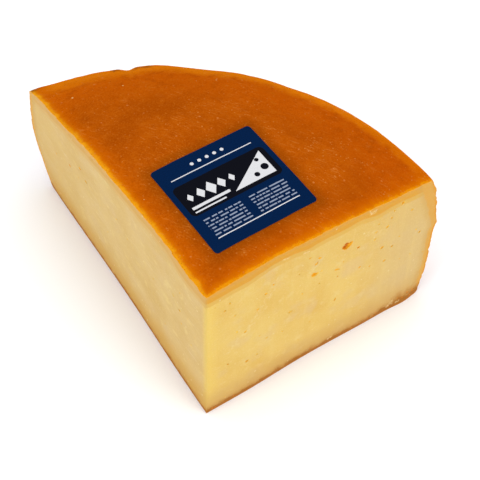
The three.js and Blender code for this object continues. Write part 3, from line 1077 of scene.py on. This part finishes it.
def paste_material():
    """Firm pale yellow paste, tan under the rind and brown along the foot."""
    m = Material("paste", specular=0.05, place="face_place")
    m.set("Subsurface Weight", 0.15)
    m.set("Subsurface Radius", (0.004, 0.0025, 0.001))
    m.set("Subsurface Scale", 1)
    mottle = m.noise(PASTE_LUMPS["mottle"], detail=4, roughness=0.6)
    grain = m.noise(PASTE_LUMPS["grain"], detail=3, roughness=0.7)
    along_knife = m.noise(KNIFE_ALONG, detail=3)

    paste_clouds(m, mottle)
    paste_ends(m, mottle)
    m.fade(grain, 0.52, 0.7, 0.35, (226, 200, 138))
    m.fade(grain, 0.48, 0.3, 0.3, (205, 166, 88))
    long_marks = m.times(m.ramp(along_knife, 0.58, 0.72, 0, 0.45), m.turn)
    m.coat(long_marks, (216, 196, 156))
    across_knife = m.noise(KNIFE_ACROSS)
    short_marks = m.times(m.ramp(across_knife, 0.45, 0.75, 0, 0.2), m.short_side)
    m.coat(short_marks, (222, 196, 124))
    paste_foot(m, mottle)
    paste_bands(m, mottle, grain)
    paste_sole(m, grain)
    paste_scuffs(m, grain)
    flecks = m.specks(3.8, 0.62, place=m.vector("ADD", m.place, (11, 5, 0)))
    m.coat(m.times(flecks, 0.5), (224, 206, 156))
    m.coat(m.times(m.specks(6, 0.7), 0.7), (216, 160, 48))

    m.bump(grain, 0.08)
    m.bump(along_knife, 0.1)
    return m.done(roughness=m.ramp(mottle, 0.3, 0.7, 0.52, 0.68))


def paste_clouds(m, mottle):
    """Clouds of a few pale tones, which differ a little between the two cut faces: the longer one is darker
    and greyer, as painted shade of that face.
    """
    broad = m.noise(PASTE_LUMPS["broad"], detail=3)
    elsewhere = m.vector("ADD", m.place, (70, 0, 0))
    clouds = m.noise(PASTE_LUMPS["clouds"], detail=3, place=elsewhere)
    # Painted shade: each colour is darker and greyer on the longer cut face.
    plain = m.mix(m.turn, (217, 184, 104), (207, 176, 116))
    deep = m.mix(m.turn, (212, 173, 90), (200, 165, 101))
    greyish = m.mix(m.turn, (210, 178, 120), (204, 173, 119))
    m.start(m.mix(m.ramp(broad, 0.35, 0.7), plain, deep))
    m.fade(clouds, 0.5, 0.7, 0.7, greyish)
    m.fade(mottle, 0.52, 0.72, 0.45, (221, 196, 132))


def paste_ends(m, mottle):
    """Duller paste towards the rind on both cut faces, and a lighter, yellower band beside the apex."""
    reach = reach_on(m)
    far_end = m.times(m.ramp(reach, 85, 135, 0, 0.75), m.short_side)
    m.coat(far_end, (201, 172, 120))
    under_bands = m.times(m.ramp(m.stored("under_top"), 40, 12, 0, 0.4), m.short_side)
    m.coat(m.times(under_bands, m.ramp(reach, 35, 75)), (206, 168, 92))
    far_left = m.times(m.ramp(reach, 110, 175, 0, 0.6), m.turn)
    m.coat(far_left, (203, 166, 96))
    from_apex = m.times(reach, m.scaled(m.turn, 1.6, 1))
    beside_apex = m.ramp(m.scaled(mottle, 4, from_apex), 13, 3, 0, 0.75)
    m.coat(beside_apex, (222, 190, 98))


def paste_foot(m, mottle):
    """Browner paste towards the foot, higher up on the longer cut face."""
    top = m.mix_value(m.turn, 30, 38)
    low = m.ramp(m.scaled(mottle, 10, m.stored("foot_gap")), top, 9, 0, 0.85)
    m.coat(low, m.mix(m.turn, (199, 157, 90), (196, 149, 68)))


def paste_bands(m, mottle, grain):
    """The tan bands of drier paste under the rind, each with its own border."""
    under_top = m.stored("under_top")
    side_gap = m.stored("side_gap")
    swing = m.scaled(m.noise(BAND_SWING), 5, -2.5)
    depth = m.plus(under_top, swing, m.scaled(grain, 0.8, -0.4))
    for start, full, short_shade, long_shade in TOP_BANDS:
        m.fade(depth, start, full, 0.8, m.mix(m.turn, short_shade, long_shade))
    wider_on_top = m.times(m.ramp(under_top, 42, 8, 0, 4), m.short_side)
    rim = m.less(m.plus(side_gap, m.scaled(mottle, 5, -2.5)), wider_on_top)
    m.fade(rim, 9, 4.5, 0.5, (196, 154, 84))
    m.fade(rim, 4.6, 2.8, 0.9, (208, 156, 72))
    m.fade(m.scaled(grain, 3, side_gap), 3.4, 2, 0.9, (208, 142, 44))
    m.fade(m.scaled(grain, 1.6, under_top), 1.7, 0.9, 0.9, (216, 150, 40))


def paste_sole(m, grain):
    """The brown line of rind along the foot, with orange dots in it, and painted light at its very bottom
    against the contact shadow.
    """
    foot_gap = m.stored("foot_gap")
    far_corner = m.times(m.ramp(reach_on(m), 108, 132, 0, 0.4), m.short_side)
    squeeze = m.less(m.mix_value(m.turn, 1, 1.15), far_corner)
    squeezed = m.times(foot_gap, squeeze)
    uneven = m.scaled(m.noise(6, detail=3, roughness=0.6), 8, -4)
    ragged = m.plus(m.scaled(grain, 2.4, squeezed), uneven)
    m.fade(ragged, 8.5, 3.6, 0.75, (176, 120, 50))
    m.fade(ragged, 5.2, 3.4, 0.9, (158, 98, 32))
    # Painted light: the lowest millimetre is lighter, to offset the floor's contact shadow.
    m.fade(foot_gap, 1.3, 0.2, 0.6, (190, 122, 46))
    dots = m.times(m.specks(1.9, 0.8), m.ramp(squeezed, 4.8, 3.8))
    m.coat(m.times(dots, 0.8), (208, 120, 28))


def paste_scuffs(m, grain):
    """Whitish scuffs in patches, and pale crumbs, on the shorter cut face."""
    patches = m.ramp(m.noise(2.2, detail=3, roughness=0.75), 0.46, 0.62, 0, 0.5)
    scuffed = m.times(m.near_lines(SCUFFS, 0.2), patches, m.short_side)
    m.coat(scuffed, m.mix(grain, (214, 190, 132), (228, 208, 156)))
    grainy = m.ramp(grain, 0.43, 0.56, 0, 0.8)
    crumbs = m.times(m.near_lines(CRUMBS, 0.3), grainy, m.short_side)
    m.coat(crumbs, (226, 198, 140))


def eye_material():
    """The inside of an eye: yellow at its lip and orange with depth, with painted shade darkening its
    deepest part.
    """
    m = Material("eye", specular=0.1, place="place")
    grain = m.noise(0.8)
    depth = m.scaled(grain, 0.5, m.stored("cut_gap"))
    m.start(m.mix(m.ramp(depth, 0.3, 0.85), (232, 190, 78), (228, 158, 26)))
    # Painted shade: the deepest part of the larger eyes turns dark orange-brown.
    m.coat(m.ramp(depth, 1.05, 1.5), (186, 94, 12))
    m.bump(grain, 0.1)
    return m.done(roughness=0.45)


def base_material():
    """The rind under the piece, duller and browner than on top."""
    m = Material("rind_base", specular=0.15, place="place")
    broad = m.noise(18, detail=5, roughness=0.6)
    grain = m.noise(1.4, detail=3)
    m.start(m.mix(m.ramp(broad, 0.35, 0.65), (172, 92, 22), (198, 124, 48)))
    m.fade(grain, 0.5, 0.7, 0.4, (146, 74, 18))
    m.bump(grain, 0.2)
    return m.done(roughness=0.7)


def make_cheese():
    mesh = cheese_shell().to_mesh("cheese_piece")
    cheese = linked("cheese_piece", mesh)
    materials = (rind_material(), paste_material(), base_material(), eye_material())
    for material in materials:
        mesh.materials.append(material)
    cut_eyes(cheese)
    while len(cheese.data.materials) > len(materials):
        cheese.data.materials.pop()
    cheese.data.set_sharp_from_angle(angle=SHARP_FROM)
    measure_zones(cheese.data)
    return cheese


def top_over(x, y):
    """The height of the rind, low relief and all, over any place near its middle."""
    turn = np.arctan2(y, x) / long_angle(APEX_HEIGHT)
    share = np.hypot(x, y) / rim_reach(rim_height(turn), turn)
    height = top_height(share, turn)
    return height + rind_relief(stacked(x, y, height))


def label_lines():
    """Where the lines of the sticker's grid run: closer together at its rounded corners."""
    plain = LABEL_SIDE / 2 - LABEL_CORNER
    steps = np.arange(1, LABEL_ROUND_CELLS + 1) / LABEL_ROUND_CELLS
    corner = plain + LABEL_CORNER * np.sin(steps * math.pi / 2)
    return np.concatenate([-corner[::-1], np.linspace(-plain, plain, LABEL_CELLS + 1), corner])


def label_grid():
    """The sticker's points in its own plane, drawn in to the arcs of its corners."""
    plain = LABEL_SIDE / 2 - LABEL_CORNER
    own = stacked(*np.meshgrid(label_lines(), label_lines()))
    past = np.maximum(np.abs(own) - plain, 0)
    far = np.maximum(np.linalg.norm(past, axis=-1), 1e-9)
    past *= np.where((past > 0).all(axis=-1), np.minimum(1, LABEL_CORNER / far), 1)[..., None]
    return np.sign(own) * (np.minimum(np.abs(own), plain) + past)


def make_label():
    """The sticker: a thin sheet that lies along the rind."""
    own = label_grid()
    across = towards(np.array(LABEL_TURN))
    flat = LABEL_CENTRE + own[..., :1] * across + own[..., 1:] * np.array([-across[1], across[0]])
    rind = top_over(flat[..., 0], flat[..., 1])

    shell = Shell()
    under, over = [
        shell.add_points(np.dstack([flat, rind + lift]))
        for lift in (LABEL_GAP, LABEL_GAP + LABEL_THICKNESS)
    ]
    shell.add_grid(under, PRINTED, flipped=True)
    shell.add_grid(over, PRINTED)
    for low, high, flipped in (
        (under[0], over[0], False),
        (under[-1], over[-1], True),
        (under[:, 0], over[:, 0], True),
        (under[:, -1], over[:, -1], False),
    ):
        shell.add_grid(np.array([low, high]), CUT_EDGE, flipped)
    label = linked("label_sheet", shell.to_mesh("label_sheet"))
    for material in (label_material(), paper_material()):
        label.data.materials.append(material)
    label.data.set_sharp_from_angle(angle=SHARP_FROM)
    both_sheets = np.tile(np.dstack([own, 0 * rind]).reshape(-1, 3), (2, 1))
    write_values(label.data, "own_place", both_sheets)
    return label


class Print(Material):
    """Simple printed shapes at places on the sticker, in millimetres from its middle."""

    def box(self, centre, half, corner=0.2):
        away = self.vector("SUBTRACT", self.place, (*centre, 0))
        inner = (half[0] - corner, half[1] - corner, 1)
        past = self.vector("SUBTRACT", self.vector("ABSOLUTE", away), inner)
        gap = self.vector("LENGTH", self.vector("MAXIMUM", past, (0, 0, 0)))
        return self.math("LESS_THAN", gap, corner)

    def disc(self, centre, radius):
        gap = self.vector("DISTANCE", self.place, (*centre, 0))
        return self.math("LESS_THAN", gap, radius)

    def lozenge(self, centre, size):
        away = self.vector("ABSOLUTE", self.vector("SUBTRACT", self.place, (*centre, 0)))
        gap = self.vector("DOT_PRODUCT", away, (1.25, 0.85, 0))
        return self.math("LESS_THAN", gap, size)

    def beside(self, point, angle):
        """1 to the left of a line through a point that runs at this angle."""
        along = math.radians(angle)
        side = (-math.sin(along), math.cos(along), 0)
        limit = side[0] * point[0] + side[1] * point[1]
        return self.math("GREATER_THAN", self.vector("DOT_PRODUCT", self.place, side), limit)

    def rows(self, centre, half, pitch, thickness, share):
        """Rows of short dashes in a box. The share is about how much of each row is inked."""
        across, up = self.node("SeparateXYZ", self.place).outputs[:2]
        row = self.math("DIVIDE", up, pitch)
        inked = self.math("LESS_THAN", self.math("FRACT", row), thickness / pitch)
        place = self.join(across, self.times(self.math("FLOOR", row), ROW_SHIFT))
        dashes = self.math("LESS_THAN", self.noise(DASH_SIZE, detail=1, place=place), share)
        return self.times(self.box(centre, half), inked, dashes)


def wedge_mark(m):
    """A plain pale wedge with three round holes."""
    bottom = m.beside((8, -3.5), 0)
    right = m.beside((24, 2), 90)
    slope = m.beside((24, 12.5), 213)
    holes = m.most(m.disc((14.5, -0.2), 1.5), m.disc((20.6, 2.2), 2.1), m.disc((19.6, 8), 1.2))
    return m.times(m.times(bottom, right, slope), m.less(1, holes))


def label_material():
    """Navy paper with a near-black panel and plain pale shapes."""
    m = Print("label_print", specular=0.02, place="own_place")
    fibre = m.noise(0.7, detail=3)
    m.start(m.mix(m.ramp(fibre, 0.3, 0.7), (0, 24, 58), (0, 28, 66)))
    m.coat(m.box((0, 4.4), (27, 10.4), corner=3), (10, 11, 19))
    band = [
        m.lozenge((-21.6 + 6.1 * step, 5.4), size)
        for step, size in enumerate((2.2, 3, 3.8, 3, 2.2))
    ]
    bars = m.most(m.box((-13.5, -1.2), (11, 0.85), 0.4), m.box((-15.5, -3.9), (9, 0.45), 0.3))
    rules = m.most(*(m.box((0, y), (24, 0.28)) for y in (19.2, -22.9)))
    ends = m.most(*(m.disc((x, 23.6), 1) for x in (-9, -4.5, 0, 4.5, 9)))
    pale = m.most(wedge_mark(m), m.most(*band), bars, rules, ends)
    m.coat(pale, (204, 204, 206))
    rows = m.most(*(m.rows((x, -15), (10.8, 6), 2.1, 0.8, 0.56) for x in (-13.2, 13.2)))
    m.coat(rows, (134, 144, 162))
    m.bump(fibre, 0.02)
    return m.done(roughness=m.ramp(fibre, 0.3, 0.7, 0.38, 0.5))


def paper_material():
    """The sticker's bare cut edge."""
    m = Material("label_edge", specular=0.2, place="own_place")
    fibre = m.noise(0.5)
    m.start(m.mix(fibre, (16, 34, 66), (40, 56, 84)))
    return m.done(roughness=0.7)


def floor_material():
    m = Material("floor", specular=0.1)
    m.start(FLOOR_COLOUR)
    return m.done(roughness=0.9)


def make_floor():
    corners = [(x * FLOOR_HALF, y * FLOOR_HALF, 0) for x, y in ((-1, -1), (1, -1), (1, 1), (-1, 1))]
    mesh = bpy.data.meshes.new("floor")
    mesh.from_pydata(corners, [], [(0, 1, 2, 3)])
    floor = linked("floor", mesh)
    floor.location.z = -FLOOR_DROP
    mesh.materials.append(floor_material())


def make_camera():
    """The photo's camera: it looks along an azimuth counted from +X, and down."""
    level = Vector((math.cos(CAMERA_AZIMUTH), math.sin(CAMERA_AZIMUTH), 0))
    ahead = level * math.cos(CAMERA_PITCH) - Vector((0, 0, math.sin(CAMERA_PITCH)))
    right = ahead.cross(Vector((0, 0, 1))).normalized()
    up = right.cross(ahead)
    turned_right = math.cos(CAMERA_ROLL) * right + math.sin(CAMERA_ROLL) * up
    turned_up = math.cos(CAMERA_ROLL) * up - math.sin(CAMERA_ROLL) * right
    lens = bpy.data.cameras.new("camera")
    lens.lens = CAMERA_LENS
    lens.sensor_width = CAMERA_SENSOR
    camera = linked("camera", lens)
    axes = Matrix((turned_right, turned_up, -ahead)).transposed().to_4x4()
    camera.matrix_world = Matrix.Translation(CAMERA_PLACE) @ axes
    bpy.context.scene.camera = camera


def area_light(name, place, size, power, colour):
    """A round light that shines at the middle of the frame."""
    light = bpy.data.lights.new(name, "AREA")
    light.shape = "DISK"
    light.size = size
    light.energy = power
    light.color = colour
    lamp = linked(name, light)
    lamp.location = place
    lamp.rotation_mode = "QUATERNION"
    lamp.rotation_quaternion = (-Vector(place)).to_track_quat("-Z", "Y")


def make_light():
    """Plain soft studio light: a bright surround, with the key to the right of the camera."""
    world = bpy.data.worlds.new("studio")
    world.use_nodes = True
    background = world.node_tree.nodes["Background"]
    background.inputs["Color"].default_value = SURROUND_COLOUR
    background.inputs["Strength"].default_value = SURROUND_STRENGTH
    bpy.context.scene.world = world
    for name, settings in LIGHTS.items():
        area_light(name, *settings)
    bpy.context.scene.view_settings.view_transform = "Standard"


cheese = make_cheese()
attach(cheese, "root")
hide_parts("cheese")

label = make_label()
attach(label, "root")
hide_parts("label")

make_floor()
make_camera()
make_light()
